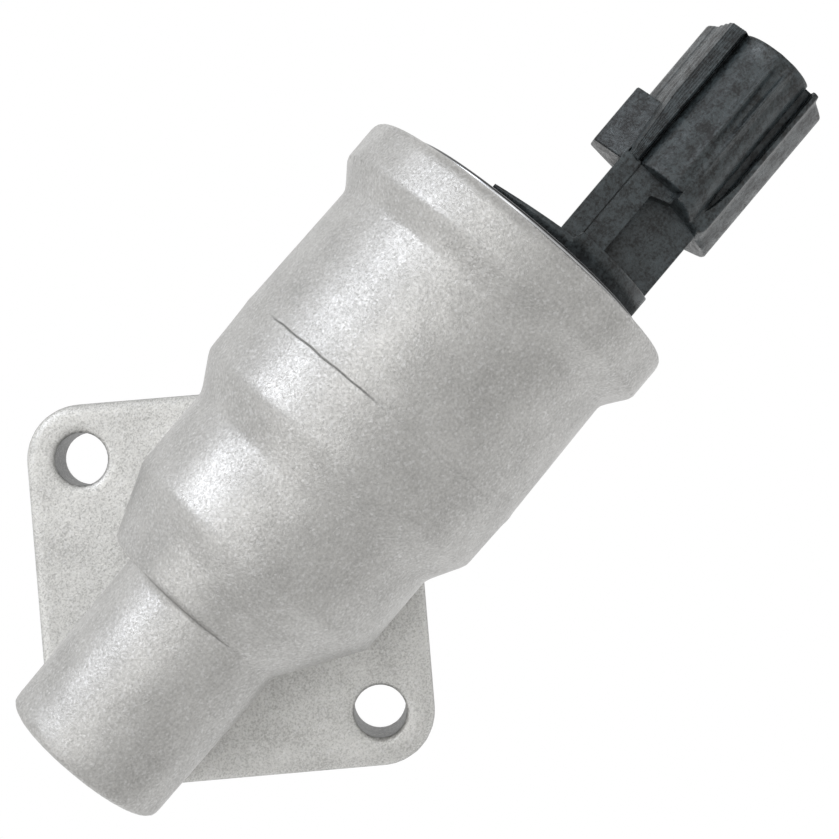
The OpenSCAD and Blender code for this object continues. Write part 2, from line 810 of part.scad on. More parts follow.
// The shell's cross-section, with +X towards the rail: sloping shoulders, a crown above and below,
// a rail at one side of the crown, and a deep groove and a ridge at its other side
module shell_section() {
    half = shell_w / 2;
    rail_x = half - shoulder_in - rail_w;
    ridge_x = shoulder_in - half;
    bead_r = 0.75;
    difference() {
        union() {
            polygon([
                [half, 1 - crown_h],
                [half, -0.6],
                [half - 1, 1.5],
                [half - shoulder_in, shoulder_h],
                [ridge_x, shoulder_h - 0.3],
                [ridge_x - 0.4, shoulder_h / 2],
                [0.5 - half, shoulder_h / 3],
                [-half, -0.6],
                [-half, 1 - crown_h],
                [1 - half, -shoulder_h * 0.75],
                [ridge_x, -shoulder_h],
                [half - shoulder_in, -shoulder_h],
                [half - 1, -shoulder_h * 0.75]
            ]);
            for (side = [-1, 1]) translate([0, side * crown_h]) circle(r = crown_r);
            for (x = [0.5, -1.5]) translate([x, crown_h + crown_r - 0.65]) circle(r = bead_r, $fn = 32);
            polygon([
                [rail_x, 0],
                [rail_x + rail_w, shoulder_h],
                [rail_x + rail_w - 0.5, rail_h],
                [rail_x, rail_h]
            ]);
            polygon([
                [ridge_x, 0],
                [ridge_x + ridge_w, 0],
                [ridge_x + ridge_w, ridge_h],
                [ridge_x, ridge_h - 0.5]
            ]);
        }
        translate([rail_x - 0.3, rail_h - 1.5]) square([0.3, 3]);
        translate([ridge_x + ridge_w, side_groove_h]) square([side_groove_w, 3]);
    }
}

// The shell, whose rear end slopes forward above the neck's low half and steps forward beside the high one
module connector_shell() {
    rise = crown_h + crown_r - neck_low_h;
    difference() {
        along_plug(shell_x) linear_extrude(shell_len) shell_section();
        translate([shell_x - 1, neck_step_y - foot_w, -1]) cube([1 + shell_step, 2 * shell_w, 2 * axis_h]);
        translate([shell_x, plug_y, axis_h + neck_low_h]) rotate([90, 0, 0])
            linear_extrude(2 * shell_w, center = true)
                polygon([[-1, 0], [0, 0], [shell_slope, rise], [shell_slope, rise + 2], [-1, rise + 2]]);
    }
}

// The round pad on the end plate, cut flat at both sides, with a gusset that thins to a tip
module connector_pad() {
    thick = plate_face_x + pad_t;
    intersection() {
        along_axis(plate_face_x) cylinder(h = pad_t + 1, r = pad_r);
        linear_extrude(axis_h + pad_r + 1) polygon([
            [plate_face_x, pad_reach],
            [plate_face_x + pad_tip_t, pad_reach],
            [thick - 1, neck_left_y],
            [thick, neck_left_y - 0.6],
            [thick, neck_right_y - 0.5],
            [plate_face_x, neck_right_y - 0.5]
        ]);
    }
}

// A bar from the pad to the shell, between two sides and two heights about the centre
module neck_bar(left_y, right_y, low, high, length) {
    translate([plate_face_x, right_y, axis_h + low]) cube([length, left_y - right_y, high - low]);
}

// The neck: a high bar with a fine groove and a foot at the shell, beside a lower one
module connector_neck() {
    groove = 0.25;
    reach = neck_len + shell_step + 0.3;
    difference() {
        union() {
            neck_bar(neck_left_y, neck_right_y, -neck_low_h, neck_low_h, reach);
            neck_bar(neck_left_y, neck_step_y, -neck_high_h, neck_high_h, reach);
            translate([shell_x, neck_step_y, axis_h]) linear_extrude(neck_high_h) polygon([
                [0, 1],
                [0, 0],
                [1.2, -foot_w],
                [shell_step + 0.3, -foot_w],
                [shell_step + 0.3, 1]
            ]);
        }
        translate([plate_face_x + pad_t, neck_left_y - 2.5, axis_h + neck_high_h - groove])
            cube([neck_len - pad_t, groove, 1]);
    }
}

// The ramp on the shell's side that the harness plug latches over
module latch_ramp() {
    ramp_len = 8.3;
    root = shell_w / 2 - 2;
    out = shell_w / 2 + 2;
    root_h = 4.6;
    out_h = 2.2;
    along_plug(shell_x + shell_step - 0.2) linear_extrude(ramp_len)
        polygon([[root, -root_h], [out, -out_h], [out, out_h], [root, root_h]]);
}

// One flat terminal, from the former through the neck into the socket
module terminal_blade(side, gap) {
    w = terminal_w + 2 * gap;
    t = terminal_t + 2 * gap;
    point = 0.6;
    z = axis_h + side * terminal_pitch / 2;
    translate([terminal_x, plug_y + t / 2, z]) rotate([90, 0, 0]) linear_extrude(t) polygon([
        [0, -w / 2],
        [terminal_len - point, -w / 2],
        [terminal_len, point - w / 2],
        [terminal_len, w / 2 - point],
        [terminal_len - point, w / 2],
        [0, w / 2]
    ]);
}

// The black moulding: a tongue in the window, a pad, the neck and the shell with its socket
module connector() {
    color("darkslategray") difference() {
        union() {
            window_block(former_end_x, plate_face_x - former_end_x + 1, 0);
            connector_pad();
            connector_neck();
            connector_shell();
            latch_ramp();
        }
        along_plug(socket_x) linear_extrude(shell_len)
            rounded_rect(socket_w, socket_h, socket_corner_r);
        for (side = [-1, 1]) terminal_blade(side, 0.02);
    }
}

module terminal_upper() {
    color("lightgray") terminal_blade(1, 0);
}

module terminal_lower() {
    color("lightgray") terminal_blade(-1, 0);
}

valve_body();
inlet_seal();
outlet_seal();
seat_ring();
nose_bush();
balance_spring();
valve_shaft();
poppet();
poppet_facing();
poppet_clips();
front_pole_plate();
pole_plate_seal();
rear_bush();
armature();
return_spring();
guide_tube();
stop_washer();
fixed_core();
coil_former();
coil_winding();
flux_tube();
coil_seal();
end_plate();
connector();
terminal_upper();
terminal_lower();
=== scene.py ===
# %% [markdown]
# # Dressing an idle air control valve
# The packed CAD model gives every piece its size and place. This script gives the pieces their looks:
# a die casting with soft edges and a blasted grain, a black moulded connector, steel, brass and rubber.
# Each step first says what the real piece is, and then how the mesh or the material is made.

import json

import bmesh
import bpy
import numpy as np
from mathutils import Matrix, Vector


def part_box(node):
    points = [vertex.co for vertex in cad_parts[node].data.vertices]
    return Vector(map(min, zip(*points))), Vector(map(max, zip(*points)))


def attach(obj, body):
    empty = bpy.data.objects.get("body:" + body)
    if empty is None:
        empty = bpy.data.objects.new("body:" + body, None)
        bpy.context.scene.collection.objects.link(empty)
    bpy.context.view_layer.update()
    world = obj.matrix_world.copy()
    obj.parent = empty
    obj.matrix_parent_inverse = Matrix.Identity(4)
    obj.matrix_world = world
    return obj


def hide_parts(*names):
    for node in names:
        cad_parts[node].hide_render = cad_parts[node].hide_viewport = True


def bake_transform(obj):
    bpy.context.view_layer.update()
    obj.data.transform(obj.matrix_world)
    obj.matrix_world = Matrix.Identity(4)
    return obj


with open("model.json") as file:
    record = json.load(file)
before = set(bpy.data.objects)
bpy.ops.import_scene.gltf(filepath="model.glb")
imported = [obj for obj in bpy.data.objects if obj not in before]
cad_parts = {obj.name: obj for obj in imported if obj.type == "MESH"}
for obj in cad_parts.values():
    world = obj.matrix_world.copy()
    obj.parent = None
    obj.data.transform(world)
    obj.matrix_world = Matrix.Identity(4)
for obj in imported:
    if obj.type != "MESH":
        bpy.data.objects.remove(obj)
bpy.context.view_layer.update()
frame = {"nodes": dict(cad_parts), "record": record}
MM = 0.001
AXIS_H = 25.0
PLUG_Y = -9.4

# %% [markdown]
# ## The camera
# The photograph was taken from straight above, about 27 cm over the face that the valve is bolted to, with
# the valve's axis rising to the upper right. A long lens keeps the perspective weak. The camera is placed by
# the point it looks at and by the direction that is up in the picture.

# %% Place the camera
CAMERA_AT = Vector((26.439, -1.756, 270.281)) * MM
LOOKS_AT = Vector((31.448, -4.544, 25.0)) * MM
UP_IN_PICTURE = Vector((0.7638, 0.6455, 0.0))


def aim(thing, place, target, up):
    """Puts a camera or lamp at a place and turns it to its target: its back points away from the target, and
    its right is up crossed with back."""
    back = (place - target).normalized()
    right = up.cross(back).normalized()
    top = back.cross(right)
    turn = Matrix((right, top, back)).transposed()
    thing.matrix_world = Matrix.Translation(place) @ turn.to_4x4()


camera_data = bpy.data.cameras.new("camera")
camera_data.lens = 87.234
camera_data.sensor_width = 36
camera_data.clip_start = 0.01
camera_data.clip_end = 10
camera = bpy.data.objects.new("camera", camera_data)
bpy.context.scene.collection.objects.link(camera)
bpy.context.scene.camera = camera
aim(camera, CAMERA_AT, LOOKS_AT, UP_IN_PICTURE)
print("camera looks down from", [round(v, 3) for v in camera.location])

# %% [markdown]
# ## Light
# There are three soft lamps. The key lamp stands to the upper left of the picture, low enough to lay a long
# highlight beside the ridge of each round part. The top lamp, higher up, lights the flat flange. The left lamp
# stands to the lower left and lifts the sides that the key lamp leaves dark. The world is a plain pale grey
# that fills the rest, and what the camera sees of it is white.

# %% Lamps and world
PICTURE_RIGHT = Vector((0.6455, -0.7638, 0.0))
MIDDLE = Vector((28.0, -3.0, 20.0)) * MM


def soft_lamp(name, right, up, height, size, watts, colour=(1, 1, 1)):
    """A square area lamp, aimed at the middle of the valve. Its place is how far it is to the right, up the
    picture and above the valve, in metres."""
    data = bpy.data.lights.new(name, "AREA")
    data.shape = "SQUARE"
    data.size = size
    data.energy = watts
    data.color = colour
    lamp = bpy.data.objects.new(name, data)
    bpy.context.scene.collection.objects.link(lamp)
    place = MIDDLE + PICTURE_RIGHT * right + UP_IN_PICTURE * up + Vector((0, 0, height))
    aim(lamp, place, MIDDLE, UP_IN_PICTURE)


soft_lamp("key_lamp", -0.45, 0.38, 0.31, 0.3, 1.02, (0.90, 0.93, 1.0))
soft_lamp("top_lamp", -0.25, 0.2, 0.75, 0.5, 0.95)
soft_lamp("left_lamp", -0.6, -0.25, 0.4, 0.4, 0.6)

world = bpy.data.worlds.new("studio")
bpy.context.scene.world = world
world.use_nodes = True
world_nodes = world.node_tree
world_nodes.nodes.clear()
light_path = world_nodes.nodes.new("ShaderNodeLightPath")
soft_sky = world_nodes.nodes.new("ShaderNodeBackground")
soft_sky.inputs["Color"].default_value = (1.0, 0.995, 0.985, 1)
soft_sky.inputs["Strength"].default_value = 0.69
seen_sky = world_nodes.nodes.new("ShaderNodeBackground")
seen_sky.inputs["Color"].default_value = (1, 1, 1, 1)
seen_sky.inputs["Strength"].default_value = 1.0
sky_mix = world_nodes.nodes.new("ShaderNodeMixShader")
sky_out = world_nodes.nodes.new("ShaderNodeOutputWorld")
world_nodes.links.new(light_path.outputs["Is Camera Ray"], sky_mix.inputs["Fac"])
world_nodes.links.new(soft_sky.outputs[0], sky_mix.inputs[1])
world_nodes.links.new(seen_sky.outputs[0], sky_mix.inputs[2])
world_nodes.links.new(sky_mix.outputs[0], sky_out.inputs["Surface"])
bpy.context.scene.view_settings.view_transform = "Standard"

# %% [markdown]
# ## A small set of tools for materials
# Every finish below is built from the same few steps: noise in the piece's own coordinates, measured in
# millimetres, turned into a colour, a roughness or a height. A value that is the same all over goes straight
# on the shader.

# %% Material tools


class Finish:
    """One material under construction. Its coordinates are the object's own, in millimetres."""

    def __init__(self, name, colour, metallic, roughness):
        self.material = bpy.data.materials.new(name)
        self.material.use_nodes = True
        self.tree = self.material.node_tree
        self.shader = self.tree.nodes["Principled BSDF"]
        self.shader.inputs["Base Color"].default_value = (*colour, 1)
        self.shader.inputs["Metallic"].default_value = metallic
        self.shader.inputs["Roughness"].default_value = roughness
        place = self.tree.nodes.new("ShaderNodeTexCoord")
        scale = self.tree.nodes.new("ShaderNodeMapping")
        scale.inputs["Scale"].default_value = (1000, 1000, 1000)
        self.link(place.outputs["Object"], scale.inputs["Vector"])
        self.place = scale.outputs["Vector"]
        self.normal = place.outputs["Normal"]

    def link(self, start, end):
        self.tree.links.new(start, end)

    def noise(self, size, detail=2.0, rough=0.5, place=None):
        """Soft random values about 0.5, whose lumps are about size millimetres across."""
        node = self.tree.nodes.new("ShaderNodeTexNoise")
        node.inputs["Scale"].default_value = 1 / size
        node.inputs["Detail"].default_value = detail
        node.inputs["Roughness"].default_value = rough
        self.link(place or self.place, node.inputs["Vector"])
        return node.outputs["Fac"]

    def cells(self, size):
        """One random value for each small cell, about size millimetres across."""
        node = self.tree.nodes.new("ShaderNodeTexVoronoi")
        node.inputs["Scale"].default_value = 1 / size
        self.link(self.place, node.inputs["Vector"])
        split = self.tree.nodes.new("ShaderNodeSeparateColor")
        self.link(node.outputs["Color"], split.inputs[0])
        return split.outputs[0]

    def stretched(self, x, y, z):
        """The coordinates scaled by different amounts, for a pattern drawn out along one direction."""
        node = self.tree.nodes.new("ShaderNodeMapping")
        node.inputs["Scale"].default_value = (x, y, z)
        self.link(self.place, node.inputs["Vector"])
        return node.outputs["Vector"]

    def math(self, kind, a, b):
        node = self.tree.nodes.new("ShaderNodeMath")
        node.operation = kind
        for value, socket in ((a, node.inputs[0]), (b, node.inputs[1])):
            if isinstance(value, (int, float)):
                socket.default_value = value
            else:
                self.link(value, socket)
        return node.outputs[0]

    def times(self, a, b):
        return self.math("MULTIPLY", a, b)

    def plus(self, a, b):
        return self.math("ADD", a, b)

    def away(self, value, middle):
        """How far a value is from the middle, on either side of it."""
        return self.math("ABSOLUTE", self.math("SUBTRACT", value, middle), 0.0)

    def remap(self, value, low, high, to_low, to_high):
        """Maps low..high to to_low..to_high along a straight line, and holds the ends."""
        node = self.tree.nodes.new("ShaderNodeMapRange")
        for name, number in (("From Min", low), ("From Max", high), ("To Min", to_low), ("To Max", to_high)):
            node.inputs[name].default_value = number
        self.link(value, node.inputs["Value"])
        return node.outputs["Result"]

    def blend(self, share, first, second):
        """A colour that goes from the first to the second as share goes from 0 to 1."""
        node = self.tree.nodes.new("ShaderNodeMix")
        node.data_type = "RGBA"
        self.link(share, node.inputs["Factor"])
        for value, socket in ((first, node.inputs[6]), (second, node.inputs[7])):
            if isinstance(value, tuple):
                socket.default_value = (*value, 1)
            else:
                self.link(value, socket)
        return node.outputs[2]

    def colour(self, value):
        self.link(value, self.shader.inputs["Base Color"])

    def roughness(self, value):
        self.link(value, self.shader.inputs["Roughness"])

    def bump(self, height, depth, before=None):
        """Tilts the surface as if height times depth, in millimetres, stood on it."""
        node = self.tree.nodes.new("ShaderNodeBump")
        node.inputs["Distance"].default_value = depth * MM
        self.link(height, node.inputs["Height"])
        if before:
            self.link(before, node.inputs["Normal"])
        self.link(node.outputs["Normal"], self.shader.inputs["Normal"])
        return node.outputs["Normal"]

    def axes(self, vector=None):
        """The x, y and z of a vector, or of the place itself."""
        node = self.tree.nodes.new("ShaderNodeSeparateXYZ")
        self.link(vector or self.place, node.inputs[0])
        return node.outputs


print("material tools", [name for name in vars(Finish) if not name.startswith("_")])

# %% [markdown]
# ## Cast aluminium: its colours
# The body came out of a steel die and was then blasted with fine shot, which leaves a silver-grey skin whose
# colour wanders a little. A slow cloud and a fine grain together choose between two greys. The flange is
# paler, duller and more sandy. Its upright sides carry painted shade, and the walls of the bolt holes carry a
# darker painted shade. It is part of the same casting, so its colour is a second one that is chosen by height.

# %% Colours of the skin and of the flange
BOLT_Y = 25.0

cast = Finish("cast_aluminium", (0.5, 0.495, 0.485), 0.85, 0.46)
cast_x, cast_y, cast_z = cast.axes()
cloud = cast.noise(6.0, 3.0)
grain = cast.noise(0.34, 3.0, 0.65)
tone = cast.plus(cast.times(cloud, 0.35), cast.times(grain, 0.65))
skin = cast.blend(cast.remap(tone, 0.3, 0.7, 0.0, 1.0), (0.37, 0.366, 0.356), (0.64, 0.635, 0.62))
on_flange = cast.remap(cast_z, 9.0, 10.6, 1.0, 0.0)
sand = cast.plus(cast.times(cloud, 0.18), cast.times(cast.noise(0.22, 2.0, 0.6), 0.82))
pale = cast.blend(cast.remap(sand, 0.40, 0.54, 0.0, 1.0), (0.58, 0.58, 0.56), (1.0, 1.0, 0.97))
# Painted shade: the flange's upright sides, and more so the bolt holes' walls, are drawn darker.
upright_shade = cast.remap(cast.axes(cast.normal)[2], 0.85, 0.35, 0.0, 1.0)
past_bolt = cast.math("SUBTRACT", cast.math("ABSOLUTE", cast_y, 0.0), BOLT_Y)
from_hole_squared = cast.plus(cast.times(past_bolt, past_bolt), cast.times(cast_x, cast_x))
hole_shade = cast.times(cast.remap(from_hole_squared, 12.5, 16.5, 1.0, 0.0), upright_shade)
pale = cast.blend(cast.times(upright_shade, 0.7), pale, (0.22, 0.22, 0.21))
pale = cast.blend(hole_shade, pale, (0.15, 0.15, 0.145))
metal = cast.blend(on_flange, skin, pale)
print("finish", cast.material.name)

# %% [markdown]
# ## Cast aluminium: milled face and sparkle
# The face that is bolted down is milled flat after casting, so it has fine straight strokes and no grain: it
# is told from the rest by its height, z = 0. Everywhere else, some of the small facets that the shot left
# catch the lamp. Random cells stand for them, and the brightest fifth of these get a painted glint.

# %% Milled strokes and bright facets
milled = cast.remap(cast_z, 0.03, 0.15, 1.0, 0.0)
blasted = cast.math("SUBTRACT", 1.0, milled)
strokes = cast.noise(1.0, 3.0, 0.6, cast.stretched(0.12, 3.5, 1.0))
bright = cast.blend(cast.remap(strokes, 0.35, 0.65, 0.0, 1.0), (0.50, 0.50, 0.49), (0.74, 0.74, 0.73))
metal = cast.blend(milled, metal, bright)
fleck = cast.cells(0.26)
# Painted highlight: the brightest cells are drawn near white as glints of the lamp.
painted_glint = cast.times(cast.remap(fleck, 0.8, 1.0, 0.0, 1.0), 0.3)
metal_with_glints = cast.blend(cast.times(painted_glint, blasted), metal, (0.86, 0.86, 0.87))
print("shader nodes so far", len(cast.tree.nodes))

# %% [markdown]
# ## Cast aluminium: creases and relief
# Where the die's halves met, and at the step to the nose, a thin crease is a groove whose colour is darkened
# with painted shade. Each is a narrow band about one x, wavering a little at the parting, and kept to the top
# of the valve. The relief is a chain of bumps: soft lumps, grain, sharper pits and facets on the blasted skin,
# strokes on the milled face, and the creases.

# %% Creases and relief
PARTING_X = 29.75
NOSE_STEP_X = -3.0

wander = cast.plus(cast_x, cast.times(cast.noise(5.0, 1.0), 0.7))
parted = cast.remap(cast.away(wander, PARTING_X), 0.04, 0.17, 1.0, 0.0)
parted = cast.times(parted, cast.remap(cast_z, 36.8, 39.0, 0.0, 1.0))
parted = cast.times(parted, cast.remap(cast_y, -0.5, 2.5, 0.12, 1.0))
stepped = cast.remap(cast.away(cast_x, NOSE_STEP_X), 0.02, 0.2, 1.0, 0.0)
stepped = cast.times(stepped, cast.remap(cast_z, 32.0, 34.0, 0.0, 1.0))
stepped = cast.times(stepped, cast.remap(cast_y, -6.8, -3.0, 0.0, 1.0))
crease_and_shade = cast.math("MAXIMUM", parted, cast.times(stepped, 0.55))

# Painted shade: the creases darken the colour towards near black, and the same band is also sunk as a bump.
cast.colour(cast.blend(cast.times(crease_and_shade, 0.7), metal_with_glints, (0.07, 0.07, 0.07)))
cast.roughness(cast.math("SUBTRACT", cast.remap(tone, 0.3, 0.7, 0.48, 0.34), cast.times(milled, 0.12)))
metallic = cast.math("MAXIMUM", cast.remap(on_flange, 0.0, 1.0, 0.85, 0.3), cast.times(milled, 0.9))
cast.link(metallic, cast.shader.inputs["Metallic"])

pits = cast.remap(cast.noise(0.22, 2.0, 0.7), 0.28, 0.42, 0.0, 1.0)
relief = cast.bump(cast.times(cast.noise(2.6, 2.0), blasted), 0.05)
relief = cast.bump(cast.times(grain, blasted), 0.05, relief)
relief = cast.bump(cast.times(pits, blasted), 0.022, relief)
relief = cast.bump(cast.times(fleck, blasted), 0.010, relief)
relief = cast.bump(cast.times(strokes, milled), 0.004, relief)
cast.bump(crease_and_shade, -0.06, relief)
print("shader nodes of the casting", len(cast.tree.nodes))

# %% [markdown]
# ## Black moulded plastic
# The connector is glass-filled nylon. It is near black, but the fibres and the worn die give it a soft
# uneven sheen, so the roughness and the colour both wander, in patches a few millimetres across.

# %% The connector's finish
plastic = Finish("black_plastic", (0.03, 0.034, 0.038), 0.0, 0.42)
patch = plastic.noise(1.8, 4.0, 0.65)
fine = plastic.noise(0.34, 3.0, 0.7)
mottle = plastic.plus(plastic.times(patch, 0.5), plastic.times(fine, 0.5))
worn = plastic.remap(mottle, 0.41, 0.61, 0.0, 1.0)
plastic.colour(plastic.blend(worn, (0.002, 0.003, 0.0034), (0.056, 0.070, 0.076)))
plastic.roughness(plastic.remap(mottle, 0.38, 0.62, 0.48, 0.24))
wave = plastic.bump(plastic.noise(1.6, 2.0), 0.03)
plastic.bump(fine, 0.05, wave)
print("finish", plastic.material.name)

# %% [markdown]
# ## Turned and drawn metal
# The parts inside are turned, ground or drawn. A lathe leaves fine rings around the axis, which is a noise
# that changes quickly along X and slowly across it. Each metal has its own colour and its own depth of rings.
# The end plate's rim, outside the pad and below the rolled lip, is painted nearly black as shade.

# %% Finishes for the metal parts
PLATE_SHADE_RIM = (56.2, 17.6)


def turned_metal(name, dark, light, roughness, ring_size, depth, rim=None):
    """A metal with rings around the X axis: noise squeezed along X to ring_size millimetres. Past a rim, given
    by x and by the distance from the axis, it is painted nearly black as shade."""
    finish = Finish(name, light, 1.0, roughness)
    rings = finish.noise(1.0, 2.0, 0.6, finish.stretched(1 / ring_size, 0.12, 0.12))
    stain = finish.noise(4.0, 3.0)
    shade = finish.blend(finish.remap(stain, 0.35, 0.65, 0.0, 1.0), dark, light)
    if rim:
        rim_x, rim_r = rim
        x, y, z = finish.axes()
        rise = finish.math("SUBTRACT", z, AXIS_H)
        out_squared = finish.plus(finish.times(y, y), finish.times(rise, rise))
        outside = finish.remap(out_squared, (rim_r - 0.1) ** 2, (rim_r + 0.1) ** 2, 0.0, 1.0)
        past = finish.remap(x, rim_x - 0.08, rim_x + 0.08, 0.0, 1.0)
        # Painted shade: past the rim the plate is drawn near black.
        shade = finish.blend(finish.times(outside, past), shade, (0.04, 0.04, 0.04))
    finish.colour(shade)
    finish.roughness(finish.remap(rings, 0.3, 0.7, roughness * 0.8, roughness * 1.25))
    finish.bump(rings, depth)
    return finish.material


# Each metal's darker and lighter colour, roughness, size and depth of its rings, and the plate's rim of painted
# shade.
METALS = {
    "plated_steel": ((0.55, 0.56, 0.58), (0.72, 0.73, 0.74), 0.26, 0.5, 0.006, PLATE_SHADE_RIM),
    "core_steel": ((0.36, 0.36, 0.37), (0.52, 0.53, 0.55), 0.34, 0.25, 0.010),
    "shaft_steel": ((0.62, 0.63, 0.65), (0.76, 0.77, 0.79), 0.16, 0.12, 0.003),
    "spring_steel": ((0.30, 0.31, 0.33), (0.48, 0.49, 0.51), 0.3, 0.3, 0.004),
    "brass": ((0.58, 0.41, 0.16), (0.80, 0.62, 0.28), 0.24, 0.2, 0.006),
    "tinned_brass": ((0.60, 0.59, 0.56), (0.76, 0.75, 0.72), 0.24, 0.6, 0.004),
}
FINISHES = {name: turned_metal(name, *looks) for name, looks in METALS.items()}
print("metals", sorted(FINISHES))

# %% [markdown]
# ## Bronze, copper, nylon and rubber
# The bushes are sintered, so they are dull and full of pores. The winding is enamelled wire laid in even
# turns, which a wave along X draws as round ridges, with painted shade in the valleys between the turns.
# The former is natural nylon, which lets a little light in.
# The rubber rings are dull black with a faint bloom.

# %% Four more finishes
bronze = Finish("bronze", (0.5, 0.31, 0.16), 0.9, 0.5)
pores = bronze.cells(0.18)
bronze.colour(bronze.blend(bronze.remap(pores, 0.0, 0.5, 0.0, 1.0), (0.24, 0.15, 0.08), (0.60, 0.38, 0.20)))
bronze.bump(pores, 0.02)

copper = Finish("copper_wire", (0.62, 0.28, 0.10), 0.9, 0.3)
copper.shader.inputs["Coat Weight"].default_value = 0.5
turn_ridge = copper.tree.nodes.new("ShaderNodeTexWave")
turn_ridge.bands_direction = "X"
turn_ridge.wave_profile = "SIN"
turn_ridge.inputs["Scale"].default_value = 1 / 2.0
turn_ridge.inputs["Distortion"].default_value = 0.15
copper.link(copper.place, turn_ridge.inputs["Vector"])
# Painted shade: the colour darkens in the valleys between the turns, following the wave.
copper.colour(copper.blend(turn_ridge.outputs["Fac"], (0.30, 0.11, 0.035), (0.74, 0.36, 0.14)))
copper.bump(turn_ridge.outputs["Fac"], 0.08)

nylon = Finish("former_plastic", (0.80, 0.76, 0.64), 0.0, 0.4)
nylon.shader.inputs["Subsurface Weight"].default_value = 0.15
nylon.colour(nylon.blend(nylon.noise(5.0, 3.0), (0.74, 0.70, 0.56), (0.84, 0.81, 0.70)))
nylon.bump(nylon.noise(0.5, 2.0), 0.01)

rubber = Finish("seal_rubber", (0.03, 0.03, 0.032), 0.0, 0.6)
bloom = rubber.noise(1.8, 4.0, 0.6)
dusty = rubber.remap(bloom, 0.4, 0.65, 0.0, 1.0)
rubber.colour(rubber.blend(dusty, (0.022, 0.022, 0.024), (0.06, 0.06, 0.062)))
rubber.roughness(rubber.remap(bloom, 0.3, 0.7, 0.5, 0.72))
rubber.bump(rubber.noise(0.25, 2.0), 0.012)

FINISHES.update(bronze=bronze.material, copper_wire=copper.material, former_plastic=nylon.material)
FINISHES.update(seal_rubber=rubber.material, cast_aluminium=cast.material, black_plastic=plastic.material)
print("finishes", len(FINISHES))

# %% [markdown]
# ## Giving the CAD nodes their finishes
# Most pieces inside the valve already have the right shape. Each takes the finish of the slot that the
# packed record names for it.

# %% Assign finishes to the CAD nodes
for part in frame["record"]["subparts"]:
    node = frame["nodes"][part["node"]]
    node.data.materials.clear()
    node.data.materials.append(FINISHES[part["material_slot"]])

# %% [markdown]
# ## Meshes from arrays
# New surfaces are worked out as rings of points. Each ring has as many points as the next, so the skin
# between them is a grid of four-sided faces. A centre point closes each end.

# %% Mesh tools


def skin_faces(rings, around):
    """Faces of a tube: point k of ring i joins point k+1, and the same two points of ring i+1."""
    ring, k = np.meshgrid(np.arange(rings - 1) * around, np.arange(around), indexing="ij")
    after = (k + 1) % around
    return np.stack([ring + k, ring + after, ring + around + after, ring + around + k], -1).reshape(-1, 4)


def signed_volume(points, quads):
    """Sum of the volumes between each face and the origin, which is above zero if faces point outwards."""
    a, b, c, d = (points[quads[:, n]] for n in range(4))
    return (np.einsum("ij,ij->", a, np.cross(b, c)) + np.einsum("ij,ij->", a, np.cross(c, d))) / 6


def closed_skin(rings):
    """Points and faces of a closed skin through rings, an array of ring, point and place, in millimetres.
    A centre point at each end is repeated as a last, tiny ring, so that every face has four corners."""
    first = np.repeat(rings[:1].mean(1, keepdims=True), rings.shape[1], 1)
    last = np.repeat(rings[-1:].mean(1, keepdims=True), rings.shape[1], 1)
    rings = np.concatenate([first, rings, last])
    points = rings.reshape(-1, 3)
    quads = skin_faces(rings.shape[0], rings.shape[1])
    if signed_volume(points, quads) < 0:
        quads = quads[:, ::-1]
    return points, quads


def join_skins(skins):
    """Puts several closed skins into one list of points and one of faces."""
    starts = np.cumsum([0] + [len(points) for points, _ in skins[:-1]])
    all_points = np.concatenate([points for points, _ in skins])
    all_quads = np.concatenate([quads + start for (_, quads), start in zip(skins, starts)])
    return all_points, all_quads


def merge_close(piece, distance):
    """Joins points that lie within a distance, in metres, and drops the faces that vanish with them."""
    work = bmesh.new()
    work.from_mesh(piece.data)
    bmesh.ops.remove_doubles(work, verts=work.verts, dist=distance)
    bmesh.ops.dissolve_degenerate(work, dist=distance, edges=work.edges)
    work.to_mesh(piece.data)
    work.free()


def make_piece(name, points, quads, slot, nodes):
    """A mesh object from arrays in millimetres, whose tiny end rings are merged. It takes the place of the CAD
    nodes."""
    mesh = bpy.data.meshes.new(name)
    mesh.vertices.add(len(points))
    mesh.vertices.foreach_set("co", (points * MM).astype(np.float32).ravel())
    mesh.loops.add(quads.size)
    mesh.loops.foreach_set("vertex_index", quads.astype(np.int32).ravel())
    mesh.polygons.add(len(quads))
    mesh.polygons.foreach_set("loop_start", np.arange(0, quads.size, 4, dtype=np.int32))
    mesh.update(calc_edges=True)
    piece = bpy.data.objects.new(name, mesh)
    bpy.context.scene.collection.objects.link(piece)
    merge_close(piece, 1e-7)
    mesh.materials.append(FINISHES[slot])
    mesh.shade_smooth()
    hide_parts(*nodes)
    print(name, "faces", len(mesh.polygons))
    return piece


print("faces between two rings of six points", len(skin_faces(2, 6)))

# %% [markdown]
# ## The casting's soft edges
# On the real casting no edge is sharp: the metal can't fill a sharp corner of the die, and the die's own
# inner corners are rounded so that it doesn't crack. A bevel would need every edge chosen, and fails where
# a cylinder runs into the flange. A voxel remesh does it all at once: it rebuilds a merged copy of the CAD
# body as an even skin of faces 0.56 mm across, and a few smoothing steps then round each edge and fill each
# inner corner.

# %% Remesh and relax the casting
VOXEL = 0.56
SMOOTHING_STEPS = 4
# Where the nose meets the shoulder, and the folds of the two cones, as x.
CRISP_X = -2.9
FOLDS_X = np.array([17.1, 21.6, 46.7, 49.8])


def relaxed(points, pairs, steps, share):
    """Moves each point a share of the way to the mean of its neighbours, step by step, then partly back, so
    that edges soften while the volume stays (Taubin's smoothing). The share can differ from point to point."""
    count = np.zeros(len(points))
    np.add.at(count, pairs[:, 0], 1)
    np.add.at(count, pairs[:, 1], 1)
    for step in range(steps * 2):
        total = np.zeros_like(points)
        np.add.at(total, pairs[:, 0], points[pairs[:, 1]])
        np.add.at(total, pairs[:, 1], points[pairs[:, 0]])
        amount = share if step % 2 == 0 else -share * 1.02
        points = points + amount * (total / count[:, None] - points)
    return points


